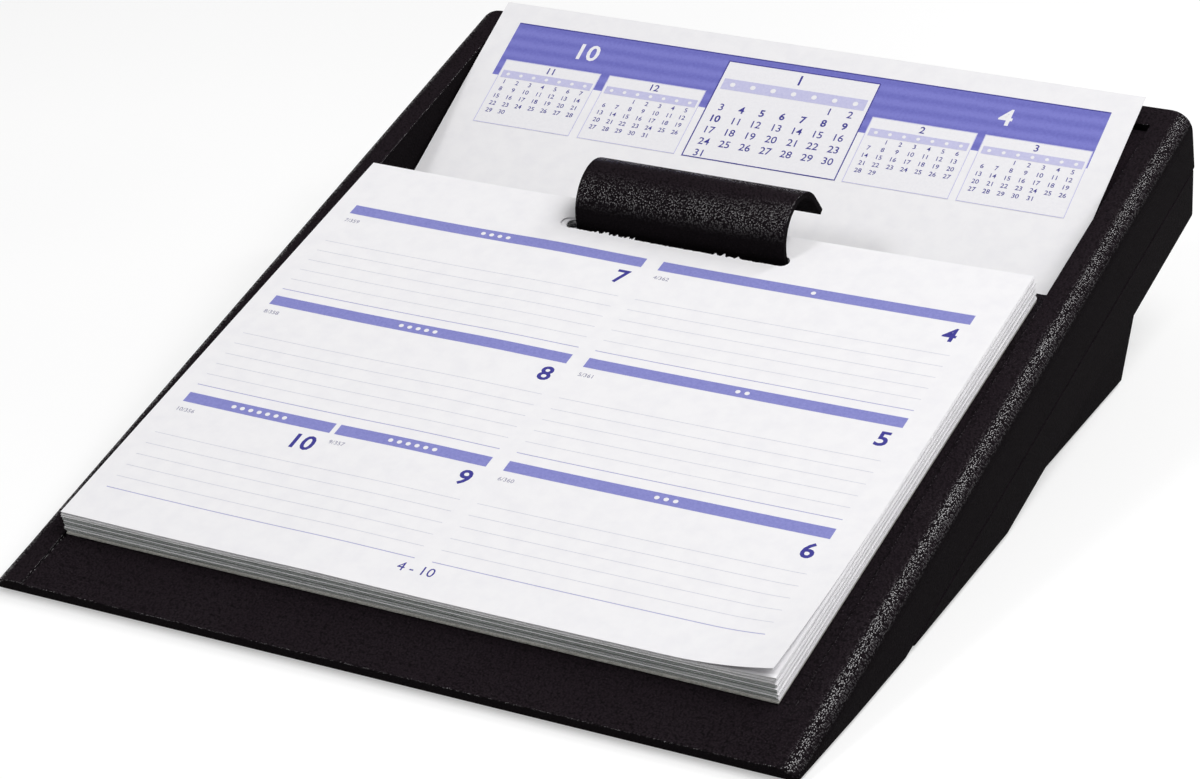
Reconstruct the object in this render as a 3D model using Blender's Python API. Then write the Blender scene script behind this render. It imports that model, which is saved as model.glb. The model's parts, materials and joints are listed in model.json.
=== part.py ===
# Desk weekly planner: a tilted base of two moulded shells, a page arch, a pad of loose weekly
# sheets hooked on the arch, and a pocket under the pad that stores the used sheets.
# Metres, +Z up, the desk at z = 0. Most pieces are drawn in the slope frame of the plate that the
# pad lies on: x to the right, v up the slope from the front edge, w square to the plate.
import bpy
import bmesh
from math import acos, asin, cos, pi, radians, sin, tan

# Sheets
PAGE_WIDTH = 0.1778
PAGE_LENGTH = 0.1429
PAPER = 0.0001
CARD = 0.0004
SLOT_SIDE_PLAY = 0.0025  # slot past the arch at each end
SLOT_FRONT_PLAY = 0.0014
SLOT_BACK_PLAY = 0.0009
SLOT_LEFT = 0.001  # slot's middle to the left of the arch's middle
SHEET_GAP = 0.00003  # air between layers that lie on each other
JOG = 0.00015  # how far the layers are out of line
PAD_PLAY = 0.0003  # the pad is pushed left, to this gap at its front corner
PAD_TURN = -0.005  # and lies a little askew
MONTHS = (
    ("january", 2), ("february", 4), ("march", 4), ("april", 4), ("may", 5), ("june", 4),
    ("july", 4), ("august", 5), ("september", 4), ("october", 5), ("november", 4), ("december", 4),
)

# Base, along and square to the plate
PLATE_TILT = radians(12.7)
APRON = 0.01825  # bare plate in front of the pad
PLATE_MARGIN = 0.00225  # bare plate behind the pad
WELL_LENGTH = 0.0661
BACK_RIM = 0.0075
SIDE_PLAY = 0.002  # pad to side rim, with the pad in the middle
RIM_WIDTH = 0.0084
RIM_RISE = radians(1.04)  # the rims climb away from the plate
RIM_FRONT = 0.0003
RIM_ROUND = 0.0045
CORNER = 0.0014
END_EDGE = 0.0004  # softened top edge at the front and back ends
LIP = 0.0024  # front edge, from the plate's face to its underside
PLATE = 0.0022
WALL = 0.002
CAVITY_FRONT = 0.012
COVER_DEPTH = 0.0154  # rim top to parting line
SLAB_DEPTH = 0.0296  # rim top to the lower shell's side edges
SHELL_INSET = 0.0008  # how far the lower shell draws in below the parting line
SHELL_EDGE = 0.0007
SHELL_NOSE = 0.001  # thickness of the lower shell's front end
STAND_INSET = 0.0042  # stand's sides behind the lower shell's sides
STAND_LEAD = 0.003  # stand starts this far behind the knee in the shell's floor
STAND_BACK = 0.0443  # stand's rear bottom edge, ahead of the base's rear end
STAND_LEAN = radians(41)  # stand's back face, from the plate's normal
FIT = 0.0003

# Arch
ARCH_X = 0.001
ARCH_WIDTH = 0.0556
ARCH_RADIUS = 0.0103
ARCH_WALL = 0.0016
ARCH_LIFT = 0.001  # arch centre above the pad's top
ARCH_BEND_END = radians(27)  # where the bend runs out into the straight tail
ARCH_TAIL = 0.0062
ARCH_SEAT = 0.0038  # thickened plate above the arch's foot
ARCH_FOOT = 0.002
ARCH_FOOT_REACH = 0.0135
ARCH_SEAT_SIDE = 0.003

# Stored sheet and its pocket
STORED_RISE = 0.0038  # top edge above the back rim
STORED_SETBACK = 0.0011  # top edge ahead of the base's rear end
STORED_RADIUS = 0.43  # the sheet's curve
CHUTE_WALL = 0.0015
CHUTE_PLAY = 0.0006
CHUTE_STOP = 0.006
CHUTE_LEDGE = 0.0075  # flat end towards the well's back wall
CHUTE_LIFT = 0.0013  # the low end above the lower shell's floor
CHUTE_RIB = 0.0016
CHUTE_RIB_SIDE = 0.0403  # rib in from the chute's side

# Screws and feet
SCREW_RADIUS = 0.0011
SCREW_HEAD_RADIUS = 0.0022
SCREW_HEAD = 0.0014
SCREW_BITE = 0.006  # how far a cover screw goes into its boss
ARCH_SKIN = 0.0012  # plate left over the arch screws
BOSS_RADIUS = 0.0032
FRONT_SCREW_SIDE = 0.0285  # in from the lower shell's side
FRONT_SCREW_BACK = 0.011  # behind the lower shell's front end
REAR_SCREW_AHEAD = 0.0195  # ahead of the base's rear end
REAR_BOSS = 0.008
ARCH_SCREW_SIDE = 0.0098  # in from the arch's end
FEET_PROUD = 0.0012  # desk to the base's lowest plane
FOOT_RADIUS = 0.005
FOOT_SIDE = 0.016  # foot centre in from the stand's side
FRONT_FOOT_BACK = 0.018  # behind the lower shell's front end
REAR_FOOT_AHEAD = 0.012  # ahead of the stand's rear bottom edge

# Places that follow from the sizes
PAD_BACK = APRON + PAGE_LENGTH
PLATE_BACK = PAD_BACK + PLATE_MARGIN
WELL_BACK = PLATE_BACK + WELL_LENGTH
BASE_LENGTH = WELL_BACK + BACK_RIM
WELL_HALF = PAGE_WIDTH / 2 + SIDE_PLAY
HALF = WELL_HALF + RIM_WIDTH
SHELL_HALF = HALF - SHELL_INSET
SHELL_BACK = BASE_LENGTH - SHELL_INSET
STAND_HALF = SHELL_HALF - STAND_INSET
MONTH_SHEETS = sum(count for month, count in MONTHS)
PAD_TOP = FIT + CARD + (MONTH_SHEETS + 2) * PAPER + (len(MONTHS) + 2) * SHEET_GAP
ARCH_V = PAD_BACK
ARCH_W = PAD_TOP + ARCH_LIFT
LEG_FRONT = ARCH_V - ARCH_RADIUS
SLOT_LENGTH = ARCH_WIDTH + 2 * SLOT_SIDE_PLAY
SLOT_WIDTH = SLOT_FRONT_PLAY + ARCH_WALL + SLOT_BACK_PLAY
SLOT_STRIP = PAD_BACK - LEG_FRONT - ARCH_WALL - SLOT_BACK_PLAY
PAD_SHIFT = PAD_PLAY - SIDE_PLAY - PAGE_LENGTH / 2 * sin(PAD_TURN)
PAD_MIDDLE = PAD_SHIFT - PAGE_LENGTH / 2 * sin(PAD_TURN)
TOP_SHEET_BACK = ARCH_V - PAGE_WIDTH / 2 * abs(sin(PAD_TURN))  # no corner behind the flip axis
SLOT_SHIFT = ARCH_X - SLOT_LEFT - PAD_MIDDLE
SEAT_BOTTOM = -PLATE - ARCH_SEAT
FOOT_TOP = SEAT_BOTTOM - FIT
FOOT_BOTTOM = FOOT_TOP - ARCH_FOOT
STAND_END = BASE_LENGTH - STAND_BACK
REAR_SCREW_V = BASE_LENGTH - REAR_SCREW_AHEAD
REAR_SCREW_X = WELL_HALF + WALL + (RIM_WIDTH - 2 * WALL) / 2
BEYOND = 0.02  # how far cutters run past what they cut


def rim(v):
    return RIM_FRONT + v * tan(RIM_RISE)


def parting(v):
    return rim(v) - COVER_DEPTH


def slab(v):
    return rim(v) - SLAB_DEPTH


def base_floor(v):
    return -LIP - v * tan(PLATE_TILT)


def shell_top(v):
    return parting(v) - FIT


def stand_back(v):
    return base_floor(STAND_END) + (v - STAND_END) / tan(STAND_LEAN)


def meet(first, second, rise=0.0):
    """Where the first straight line is higher than the second by rise."""
    at_zero = first(0) - second(0)
    per_metre = first(1) - second(1) - at_zero
    return (rise - at_zero) / per_metre


COVER_KINK = meet(parting, base_floor)
SHELL_FRONT = meet(shell_top, base_floor, SHELL_NOSE)
SHELL_KNEE = meet(slab, base_floor)
STAND_FRONT = SHELL_KNEE + STAND_LEAD
STAND_REAR = meet(stand_back, slab)
FRONT_SCREW_V = SHELL_FRONT + FRONT_SCREW_BACK
FRONT_SCREW_X = SHELL_HALF - FRONT_SCREW_SIDE
SHELL_CAVITY = FRONT_SCREW_V + BOSS_RADIUS + WALL
COVER_SCREWS = (
    ("front_left", -FRONT_SCREW_X, FRONT_SCREW_V), ("front_right", FRONT_SCREW_X, FRONT_SCREW_V),
    ("rear_left", -REAR_SCREW_X, REAR_SCREW_V), ("rear_right", REAR_SCREW_X, REAR_SCREW_V),
)
ARCH_SCREW_V = LEG_FRONT - FIT - ARCH_FOOT_REACH / 2
ARCH_SCREW_X = ARCH_WIDTH / 2 - ARCH_SCREW_SIDE
ARCH_SCREWS = (
    ("left", ARCH_X - ARCH_SCREW_X, ARCH_SCREW_V), ("right", ARCH_X + ARCH_SCREW_X, ARCH_SCREW_V),
)
STORED_TOP_V = BASE_LENGTH - STORED_SETBACK
STORED_TOP_W = rim(BASE_LENGTH) + STORED_RISE
CHUTE_RADIUS = STORED_RADIUS + PAPER / 2 + FIT
CHUTE_REACH = (PAGE_LENGTH + 2 * FIT + CHUTE_WALL) / STORED_RADIUS


def chute_end(lean):
    """The chute's low end, for a slope of the stored sheet at its top edge against the plate."""
    radius = CHUTE_RADIUS + CHUTE_WALL
    v = STORED_TOP_V - STORED_RADIUS * sin(lean) + radius * sin(lean - CHUTE_REACH)
    w = STORED_TOP_W + STORED_RADIUS * cos(lean) - radius * cos(lean - CHUTE_REACH)
    return v, w


def stored_lean():
    """The steepest slope that keeps the chute's low end clear of the lower shell's floor."""
    low, high = 0.0, pi / 4
    for step in range(40):
        lean = (low + high) / 2
        v, w = chute_end(lean)
        if w > base_floor(v) + WALL + CHUTE_LIFT:
            low = lean
        else:
            high = lean
    return low


STORED_LEAN = stored_lean()
STORE_V = STORED_TOP_V - STORED_RADIUS * sin(STORED_LEAN)
STORE_W = STORED_TOP_W + STORED_RADIUS * cos(STORED_LEAN)
STORED_END = STORED_LEAN - PAGE_LENGTH / STORED_RADIUS

# The slope frame's place: feet on the desk, the base centred front to back
ORIGIN_Z = FEET_PROUD + LIP * cos(PLATE_TILT)
FRONT_REACH = (END_EDGE - RIM_FRONT) * sin(PLATE_TILT)
BACK_REACH = SHELL_BACK * cos(PLATE_TILT) - slab(SHELL_BACK) * sin(PLATE_TILT)
ORIGIN_Y = -(FRONT_REACH + BACK_REACH) / 2


def clear_scene():
    for obj in list(bpy.data.objects):
        bpy.data.objects.remove(obj, do_unlink=True)


def add_empty(name, location, parent=None, tilt=0.0):
    empty = bpy.data.objects.new(name, None)
    bpy.context.scene.collection.objects.link(empty)
    empty.parent = parent
    empty.location = location
    empty.rotation_euler = (tilt, 0, 0)
    return empty


def add_object(name, bm, parent=None):
    bmesh.ops.recalc_face_normals(bm, faces=bm.faces)
    mesh = bpy.data.meshes.new(name)
    bm.to_mesh(mesh)
    bm.free()
    obj = bpy.data.objects.new(name, mesh)
    bpy.context.scene.collection.objects.link(obj)
    obj.parent = parent
    return obj


def finish(obj, colour, roughness, metallic=0.0, smooth=False):
    material = bpy.data.materials.new(obj.name + "_finish")
    material.use_nodes = True
    shader = material.node_tree.nodes["Principled BSDF"]
    shader.inputs["Base Color"].default_value = (*colour, 1)
    shader.inputs["Roughness"].default_value = roughness
    shader.inputs["Metallic"].default_value = metallic
    obj.data.materials.append(material)
    if smooth:
        obj.data.shade_smooth()
        obj.data.set_sharp_from_angle(angle=radians(30))
    return obj


def loft(name, rings, parent):
    """A closed solid through rings of equal point counts."""
    bm = bmesh.new()
    rows = [[bm.verts.new(point) for point in ring] for ring in rings]
    count = len(rows[0])
    for low, high in zip(rows, rows[1:]):
        for i in range(count):
            j = (i + 1) % count
            bm.faces.new((low[i], low[j], high[j], high[i]))
    bm.faces.new(rows[0])
    bm.faces.new(rows[-1])
    return add_object(name, bm, parent)


def slice_across(name, profile, x_low, x_high, parent):
    """A (v, w) profile run across the base from x_low to x_high."""
    return loft(name, [[(x, v, w) for v, w in profile] for x in (x_low, x_high)], parent)


def turned(name, profile, axis_x, axis_v, parent, sides=20):
    """A (radius, w) profile, top to bottom, turned about an axis square to the plate."""
    angles = [2 * pi * i / sides for i in range(sides)]
    rings = [[(axis_x + r * cos(a), axis_v + r * sin(a), w) for a in angles] for r, w in profile]
    return loft(name, rings, parent)


def boolean(obj, operation, other):
    other.hide_render = True
    other.display_type = 'WIRE'
    modifier = obj.modifiers.new(other.name, 'BOOLEAN')
    modifier.operation = operation
    modifier.object = other
    modifier.solver = 'EXACT'


def cut(obj, cutter):
    boolean(obj, 'DIFFERENCE', cutter)


def add_to(obj, piece):
    boolean(obj, 'UNION', piece)


def rounded_section(v, half, edge, far, radius, flare=0.0, steps=6):
    """A section across the base: round at the edge height, sides that flare out to the far height."""
    side = 1 if edge > far else -1
    reach = abs(edge - far) - END_EDGE / 2
    end = pi / 2 if reach >= radius else acos((radius - reach) / radius)
    arc = []
    for i in range(steps + 1):
        turn = end * (1 - i / steps)
        arc.append((half - radius + radius * sin(turn), edge - side * radius * (1 - cos(turn))))
    right = [(arc[0][0] + flare, far)] + arc
    left = [(-x, w) for x, w in reversed(right)]
    return [(x, v, w) for x, w in right + left]


def corner_steps(steps=4):
    """Distance from the end and inset of the side along a rounded plan corner."""
    for i in range(steps + 1):
        turn = pi / 2 * i / steps
        yield CORNER * (1 - cos(turn)), CORNER * (1 - sin(turn))


def cover_bottom(v):
    return max(parting(v), base_floor(v))


def make_top_cover(slope):
    rings = []
    for along, inset in corner_steps():
        edge = rim(along) - (END_EDGE if along == 0 else 0)
        rings.append(rounded_section(along, HALF - inset, edge, cover_bottom(along), RIM_ROUND))
    for v in (COVER_KINK / 2, COVER_KINK, PLATE_BACK):
        rings.append(rounded_section(v, HALF, rim(v), cover_bottom(v), RIM_ROUND))
    for along, inset in reversed(list(corner_steps())):
        v = BASE_LENGTH - along
        edge = rim(v) - (END_EDGE if along == 0 else 0)
        rings.append(rounded_section(v, HALF - inset, edge, cover_bottom(v), RIM_ROUND))
    cover = loft("top_cover", rings, slope)

    under = -SLAB_DEPTH - BEYOND
    ceiling = -PLATE
    cavity_end = PLATE_BACK + WALL / 2
    cavity = [(CAVITY_FRONT, ceiling), (cavity_end, ceiling), (cavity_end, under), (CAVITY_FRONT, under)]
    cut(cover, slice_across("cover_cavity", cavity, WALL - HALF, HALF - WALL, slope))

    channel_front, channel_back = cavity_end + WALL, BASE_LENGTH - WALL
    channel = [
        (channel_front, rim(channel_front) - WALL), (channel_back, rim(channel_back) - WALL),
        (channel_back, under), (channel_front, under),
    ]
    for side in (-1, 1):
        x_low, x_high = sorted((side * (WELL_HALF + WALL), side * (HALF - WALL)))
        cut(cover, slice_across("rim_channel", channel, x_low, x_high, slope))
    back_front = WELL_BACK + WALL
    back_channel = [
        (back_front, rim(back_front) - WALL), (channel_back, rim(channel_back) - WALL),
        (channel_back, under), (back_front, under),
    ]
    cut(cover, slice_across("back_channel", back_channel, WALL - WELL_HALF, WELL_HALF - WALL, slope))

    recess = [
        (-BEYOND, 0), (PLATE_BACK, 0), (PLATE_BACK, under), (WELL_BACK, under),
        (WELL_BACK, BEYOND), (-BEYOND, BEYOND),
    ]
    cut(cover, slice_across("pad_recess", recess, -WELL_HALF, WELL_HALF, slope))

    seat_half = ARCH_WIDTH / 2 + ARCH_SEAT_SIDE
    seat_back = LEG_FRONT - FIT
    seat_front = seat_back - ARCH_FOOT_REACH
    overlap = PLATE / 2
    seat = [
        (seat_front, ceiling + overlap), (seat_back, ceiling + overlap),
        (seat_back, SEAT_BOTTOM), (seat_front, SEAT_BOTTOM),
    ]
    add_to(cover, slice_across("arch_seat", seat, ARCH_X - seat_half, ARCH_X + seat_half, slope))
    slot = [
        (LEG_FRONT - FIT, BEYOND), (LEG_FRONT + ARCH_WALL + FIT, BEYOND),
        (LEG_FRONT + ARCH_WALL + FIT, -BEYOND), (LEG_FRONT - FIT, -BEYOND),
    ]
    slot_half = ARCH_WIDTH / 2 + FIT
    cut(cover, slice_across("arch_slot", slot, ARCH_X - slot_half, ARCH_X + slot_half, slope))

    for side in (-1, 1):
        x = side * FRONT_SCREW_X
        boss = [(BOSS_RADIUS, ceiling + overlap), (BOSS_RADIUS, parting(FRONT_SCREW_V))]
        add_to(cover, turned("front_boss", boss, x, FRONT_SCREW_V, slope))
        x_low, x_high = sorted((side * (WELL_HALF + WALL / 2), side * (HALF - WALL / 2)))
        block_front, block_back = REAR_SCREW_V - REAR_BOSS / 2, REAR_SCREW_V + REAR_BOSS / 2
        block = [
            (block_front, rim(block_front) - RIM_ROUND), (block_back, rim(block_back) - RIM_ROUND),
            (block_back, parting(block_back) + FIT), (block_front, parting(block_front) + FIT),
        ]
        add_to(cover, slice_across("rear_boss", block, x_low, x_high, slope))
    hole = SCREW_RADIUS + FIT
    for place, x, v in COVER_SCREWS:
        bore = [(hole, parting(v) + SCREW_BITE), (hole, parting(v) - BEYOND)]
        cut(cover, turned("screw_bore", bore, x, v, slope))
    for place, x, v in ARCH_SCREWS:
        bore = [(hole, -ARCH_SKIN), (hole, SEAT_BOTTOM - BEYOND)]
        cut(cover, turned("arch_bore", bore, x, v, slope))
    return cover


def head_seat(v):
    """Height of the ledge in the lower shell that a cover screw's head bears on."""
    return max(base_floor(v), slab(v)) + SCREW_HEAD + FIT


def make_bottom_shell(slope):
    rings = []
    full_side = SLAB_DEPTH - COVER_DEPTH - FIT
    for v in (SHELL_FRONT, SHELL_KNEE, PLATE_BACK):
        low = max(base_floor(v), slab(v))
        draw_in = SHELL_INSET * (shell_top(v) - low) / full_side
        rings.append(rounded_section(v, HALF - draw_in, low, shell_top(v), SHELL_EDGE, draw_in))
    for along, inset in reversed(list(corner_steps())):
        v = SHELL_BACK - along
        rings.append(rounded_section(v, SHELL_HALF - inset, slab(v), shell_top(v), SHELL_EDGE, SHELL_INSET))
    shell = loft("bottom_shell", rings, slope)

    rear = STAND_REAR + WALL / 2 * tan(STAND_LEAN)
    stand = [
        (STAND_FRONT, slab(STAND_FRONT) + WALL / 2), (STAND_FRONT, base_floor(STAND_FRONT)),
        (STAND_END, base_floor(STAND_END)), (rear, stand_back(rear)),
    ]
    add_to(shell, slice_across("stand", stand, -STAND_HALF, STAND_HALF, slope))

    def inner_floor(v):
        return max(base_floor(v), slab(v)) + WALL

    cavity_back = SHELL_BACK - WALL
    cavity = [
        (SHELL_CAVITY, BEYOND), (SHELL_CAVITY, inner_floor(SHELL_CAVITY)),
        (SHELL_KNEE, inner_floor(SHELL_KNEE)), (cavity_back, inner_floor(cavity_back)),
        (cavity_back, BEYOND),
    ]
    inside = SHELL_HALF - WALL
    cut(shell, slice_across("shell_cavity", cavity, -inside, inside, slope))
    hollow_front, hollow_end = STAND_FRONT + WALL, STAND_END - WALL
    hollow_rear = STAND_REAR - WALL
    hollow = [
        (hollow_front, slab(hollow_front) + 2 * WALL), (hollow_front, base_floor(hollow_front) + WALL),
        (hollow_end, base_floor(hollow_end) + WALL), (hollow_rear, slab(hollow_rear) + 2 * WALL),
    ]
    inside = STAND_HALF - WALL
    cut(shell, slice_across("stand_hollow", hollow, -inside, inside, slope))

    for side in (-1, 1):
        x_low, x_high = sorted((side * (WELL_HALF + WALL / 2), side * (SHELL_HALF - WALL / 2)))
        block_front, block_back = REAR_SCREW_V - REAR_BOSS / 2, REAR_SCREW_V + REAR_BOSS / 2
        block = [
            (block_front, shell_top(block_front) - FIT), (block_back, shell_top(block_back) - FIT),
            (block_back, slab(block_back) + WALL / 2), (block_front, slab(block_front) + WALL / 2),
        ]
        add_to(shell, slice_across("shell_boss", block, x_low, x_high, slope))
    for place, x, v in COVER_SCREWS:
        bore = [(SCREW_RADIUS + FIT, BEYOND), (SCREW_RADIUS + FIT, -BEYOND - SLAB_DEPTH - LIP)]
        cut(shell, turned("shell_bore", bore, x, v, slope))
        mouth = [(SCREW_HEAD_RADIUS + FIT, head_seat(v)), (SCREW_HEAD_RADIUS + FIT, head_seat(v) - BEYOND)]
        cut(shell, turned("head_recess", mouth, x, v, slope))
    return shell


def screw(name, x, v, bearing, tip, slope):
    """A round-headed screw, its head's bearing face at one height and its tip at another."""
    low = bearing - SCREW_HEAD
    profile = [
        (SCREW_RADIUS / 3, tip), (SCREW_RADIUS, tip - 2 * SCREW_RADIUS), (SCREW_RADIUS, bearing),
        (SCREW_HEAD_RADIUS, bearing), (SCREW_HEAD_RADIUS, bearing - SCREW_HEAD / 3),
        (SCREW_HEAD_RADIUS * 0.7, low), (SCREW_RADIUS * 0.8, low), (SCREW_RADIUS / 3, low + SCREW_HEAD / 2),
    ]
    return turned(name, profile, x, v, slope, sides=16)


def make_screws(slope):
    steel = (0.55, 0.55, 0.56)
    for place, x, v in COVER_SCREWS:
        tip = parting(v) + SCREW_BITE - FIT
        finish(screw(place + "_cover_screw", x, v, head_seat(v) - FIT, tip, slope), steel, 0.3, 1.0)
    for place, x, v in ARCH_SCREWS:
        tip = -ARCH_SKIN - FIT
        finish(screw(place + "_arch_screw", x, v, FOOT_BOTTOM - FIT, tip, slope), steel, 0.3, 1.0)


def make_arch(slope):
    steps = 20
    bore = ARCH_RADIUS - ARCH_WALL
    outer, inner = [], []
    for i in range(steps + 1):
        turn = pi + (ARCH_BEND_END - pi) * i / steps
        outer.append((ARCH_V + ARCH_RADIUS * cos(turn), ARCH_W + ARCH_RADIUS * sin(turn)))
        inner.append((ARCH_V + bore * cos(turn), ARCH_W + bore * sin(turn)))
    tail_v, tail_w = ARCH_TAIL * sin(ARCH_BEND_END), -ARCH_TAIL * cos(ARCH_BEND_END)
    for line in (outer, inner):
        v, w = line[-1]
        line.append((v + tail_v, w + tail_w))
    foot_front = LEG_FRONT - ARCH_FOOT_REACH
    foot = [
        (LEG_FRONT + ARCH_WALL, FOOT_BOTTOM), (foot_front, FOOT_BOTTOM),
        (foot_front, FOOT_TOP), (LEG_FRONT, FOOT_TOP),
    ]
    half = ARCH_WIDTH / 2
    arch = slice_across("page_arch", outer + inner[::-1] + foot, ARCH_X - half, ARCH_X + half, slope)
    for place, x, v in ARCH_SCREWS:
        bore = [(SCREW_RADIUS + FIT, FOOT_TOP + ARCH_FOOT / 2), (SCREW_RADIUS + FIT, FOOT_BOTTOM - ARCH_FOOT)]
        cut(arch, turned("foot_bore", bore, x, v, slope))
    return arch


def sheet_outline():
    """The sheet's corners and its slot's outline, about the middle of the sheet's back edge."""
    half = PAGE_WIDTH / 2
    corners = [(-half, -PAGE_LENGTH), (half, -PAGE_LENGTH), (half, 0), (-half, 0)]
    radius = SLOT_WIDTH / 2
    middle = -SLOT_STRIP - radius
    ring = []
    for side in (1, -1):
        for i in range(9):
            turn = side * pi / 2 - pi * i / 8
            x = SLOT_SHIFT + side * (SLOT_LENGTH / 2 - radius)
            ring.append((x + radius * cos(turn), middle + radius * sin(turn)))
    return corners, ring


def flat_sheet(name, low, high, parent, x, v):
    """A slotted sheet or block of sheets between two heights, its back edge's middle at x and v."""
    bm = bmesh.new()
    edges = []
    for ring in sheet_outline():
        verts = [bm.verts.new((px, pv, low)) for px, pv in ring]
        edges += [bm.edges.new((verts[i - 1], verts[i])) for i in range(len(verts))]
    bmesh.ops.triangle_fill(bm, use_beauty=True, edges=edges)
    grown = bmesh.ops.extrude_face_region(bm, geom=list(bm.faces), use_keep_orig=True)
    for item in grown["geom"]:
        if isinstance(item, bmesh.types.BMVert):
            item.co.z = high
    sheet = add_object(name, bm, parent)
    sheet.location = (x, v, 0)
    sheet.rotation_euler = (0, 0, PAD_TURN)
    return sheet


def make_pad(slope, flip_axis):
    paper = (0.86, 0.86, 0.88)
    level = FIT
    card = flat_sheet("backing_card", level, level + CARD, slope, PAD_MIDDLE, PAD_BACK)
    finish(card, (0.62, 0.62, 0.6), 0.8)
    level += CARD + SHEET_GAP
    for k, (month, count) in enumerate(reversed(MONTHS)):
        top = level + count * PAPER
        x = PAD_MIDDLE + JOG * sin(2.4 * k)
        v = PAD_BACK + JOG * cos(1.7 * k)
        finish(flat_sheet(month + "_sheets", level, top, slope, x, v), paper, 0.75)
        level = top + SHEET_GAP
    following = flat_sheet("next_week_sheet", level, level + PAPER, slope, PAD_MIDDLE, PAD_BACK)
    finish(following, paper, 0.75)
    level += PAPER + SHEET_GAP - ARCH_W
    place = PAD_MIDDLE, TOP_SHEET_BACK - ARCH_V
    current = flat_sheet("current_week_sheet", level, level + PAPER, flip_axis, *place)
    finish(current, paper, 0.75)


def arc_strip(radius_low, radius_high, start, end, steps=24):
    """A strip along an arc about the store axis, as (v, w) points about that axis."""
    turns = [start + (end - start) * i / steps for i in range(steps + 1)]
    upper = [(radius_low * sin(t), -radius_low * cos(t)) for t in turns]
    lower = [(radius_high * sin(t), -radius_high * cos(t)) for t in reversed(turns)]
    return upper + lower


def make_stored_sheet(store_axis):
    half = PAGE_WIDTH / 2
    strip = arc_strip(STORED_RADIUS - PAPER / 2, STORED_RADIUS + PAPER / 2, STORED_END, STORED_LEAN)
    sheet = slice_across("previous_week_sheet", strip, PAD_SHIFT - half, PAD_SHIFT + half, store_axis)
    middle = STORED_END + (SLOT_STRIP + SLOT_WIDTH / 2) / STORED_RADIUS
    span = SLOT_WIDTH / 2 / STORED_RADIUS
    hole = arc_strip(STORED_RADIUS - BEYOND / 4, STORED_RADIUS + BEYOND / 4, middle - span, middle + span, 1)
    left = PAD_SHIFT + SLOT_SHIFT - SLOT_LENGTH / 2
    cut(sheet, slice_across("stored_slot", hole, left, left + SLOT_LENGTH, store_axis))
    return sheet


def make_chute(slope):
    top = CHUTE_RADIUS
    bottom = top + CHUTE_WALL
    front = STORED_LEAN - CHUTE_REACH
    back_v = WELL_BACK - 2 * FIT
    back = asin((back_v - CHUTE_LEDGE - STORE_V) / top)

    def on_arc(radius, turn):
        return STORE_V + radius * sin(turn), STORE_W - radius * cos(turn)

    steps = 20
    turns = [front + (back - front) * i / steps for i in range(steps + 1)]
    stop_inner = front + CHUTE_WALL / top
    stop_top = top - CHUTE_STOP
    floor_arc = [t for t in turns if t > stop_inner]
    profile = [on_arc(stop_top, front), on_arc(stop_top, stop_inner), on_arc(top, stop_inner)]
    profile += [on_arc(top, t) for t in floor_arc]
    ledge = on_arc(top, back)[1]
    profile += [(back_v, ledge), (back_v, ledge - CHUTE_WALL)]
    profile += [on_arc(bottom, t) for t in reversed(turns)]
    half = WELL_HALF - CHUTE_PLAY
    chute = slice_across("page_chute", profile, -half, half, slope)

    rib_front, rib_back = STAND_FRONT + WALL + 2 * FIT, STAND_END - WALL - 2 * FIT
    rib_top = [rib_front + (rib_back - rib_front) * i / 6 for i in range(7)]

    def under_chute(v):
        return on_arc(bottom - CHUTE_WALL / 2, asin((v - STORE_V) / bottom))[1]

    rib = [(v, under_chute(v)) for v in rib_top]
    rib += [(v, base_floor(v) + WALL + FIT) for v in (rib_back, rib_front)]
    for side in (-1, 1):
        x = side * (half - CHUTE_RIB_SIDE)
        add_to(chute, slice_across("chute_rib", rib, x - CHUTE_RIB / 2, x + CHUTE_RIB / 2, slope))
    return chute


def desk_place(v, w):
    """A slope-frame point's y and z over the desk."""
    y = ORIGIN_Y + v * cos(PLATE_TILT) - w * sin(PLATE_TILT)
    return y, ORIGIN_Z + v * sin(PLATE_TILT) + w * cos(PLATE_TILT)


def make_feet():
    front_v = SHELL_FRONT + FRONT_FOOT_BACK
    rear_v = STAND_END - REAR_FOOT_AHEAD
    for end, v in (("front", front_v), ("rear", rear_v)):
        y, seat = desk_place(v, base_floor(v))
        top = seat - FIT
        edge = top / 4
        profile = [(FOOT_RADIUS, top), (FOOT_RADIUS, edge), (FOOT_RADIUS - edge, 0)]
        for name, side in (("left", -1), ("right", 1)):
            x = side * (STAND_HALF - FOOT_SIDE)
            foot = turned(f"{end}_{name}_foot", profile, x, y, None, sides=24)
            finish(foot, (0.03, 0.03, 0.03), 0.9)


def main():
    clear_scene()
    slope = add_empty("slope", (0, ORIGIN_Y, ORIGIN_Z), tilt=PLATE_TILT)
    flip_axis = add_empty("flip_axis", (0, ARCH_V, ARCH_W), slope)
    store_axis = add_empty("store_axis", (0, STORE_V, STORE_W), slope)
    black = (0.018, 0.017, 0.017)
    finish(make_top_cover(slope), black, 0.45, smooth=True)
    finish(make_bottom_shell(slope), black, 0.45, smooth=True)
    finish(make_arch(slope), black, 0.4, smooth=True)
    finish(make_chute(slope), black, 0.5, smooth=True)
    make_screws(slope)
    make_pad(slope, flip_axis)
    finish(make_stored_sheet(store_axis), (0.86, 0.86, 0.88), 0.75, smooth=True)
    make_feet()
    bpy.context.view_layer.update()


main()
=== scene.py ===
import json
import random
from math import atan2, cos, exp, hypot, pi, radians, sin

import bmesh
import bpy
from mathutils import Matrix, Vector
from mathutils.geometry import delaunay_2d_cdt


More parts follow.
